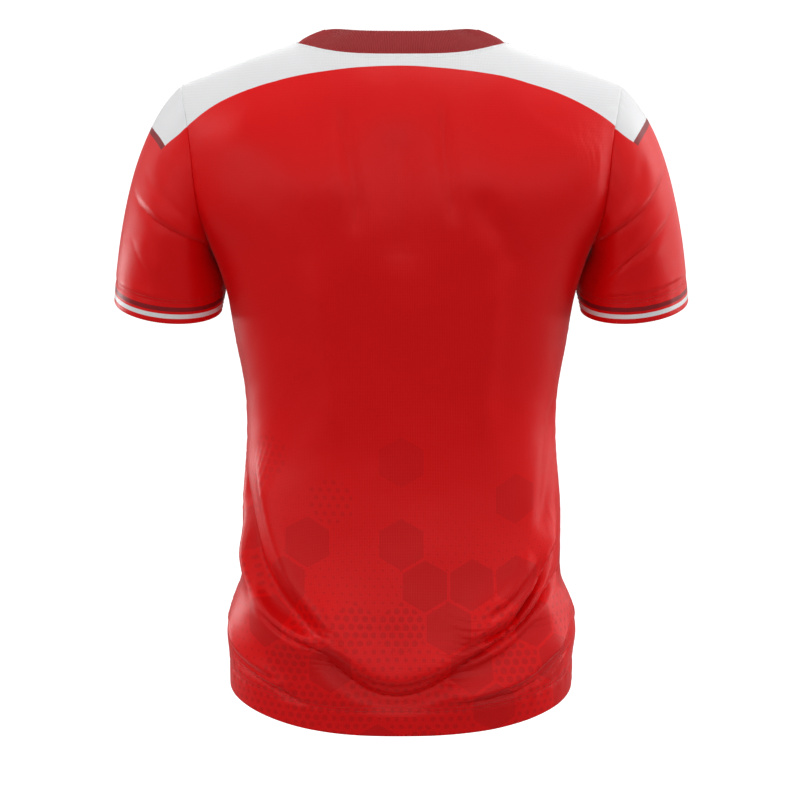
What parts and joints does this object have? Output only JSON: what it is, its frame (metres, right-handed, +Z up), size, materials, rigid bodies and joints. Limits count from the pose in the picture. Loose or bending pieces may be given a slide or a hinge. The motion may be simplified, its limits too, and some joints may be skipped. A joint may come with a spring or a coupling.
{
  "type": "football jersey",
  "caption": "Short-sleeved football jersey with a round rib collar, hollow and filled out as if worn, with set-in sleeves and turned-up hems.",
  "frame": {"origin": "where the wearer's shoulders carry the jersey: midway between the two points where the shoulder seams meet the collar", "axes": "+Z up, from hem to neck; +Y to the jersey's back; +X to the wearer's left"},
  "size_m": [0.5736, 0.2536, 0.6794],
  "materials": {
    "jersey_cloth": "satin polyester knit, printed",
    "collar_rib": "matt rib knit"
  },
  "bodies": {
    "root": {"front": "jersey_cloth", "back": "jersey_cloth", "sleeve_left": "jersey_cloth", "sleeve_right": "jersey_cloth", "collar": "collar_rib"}
  },
  "joints": []
}
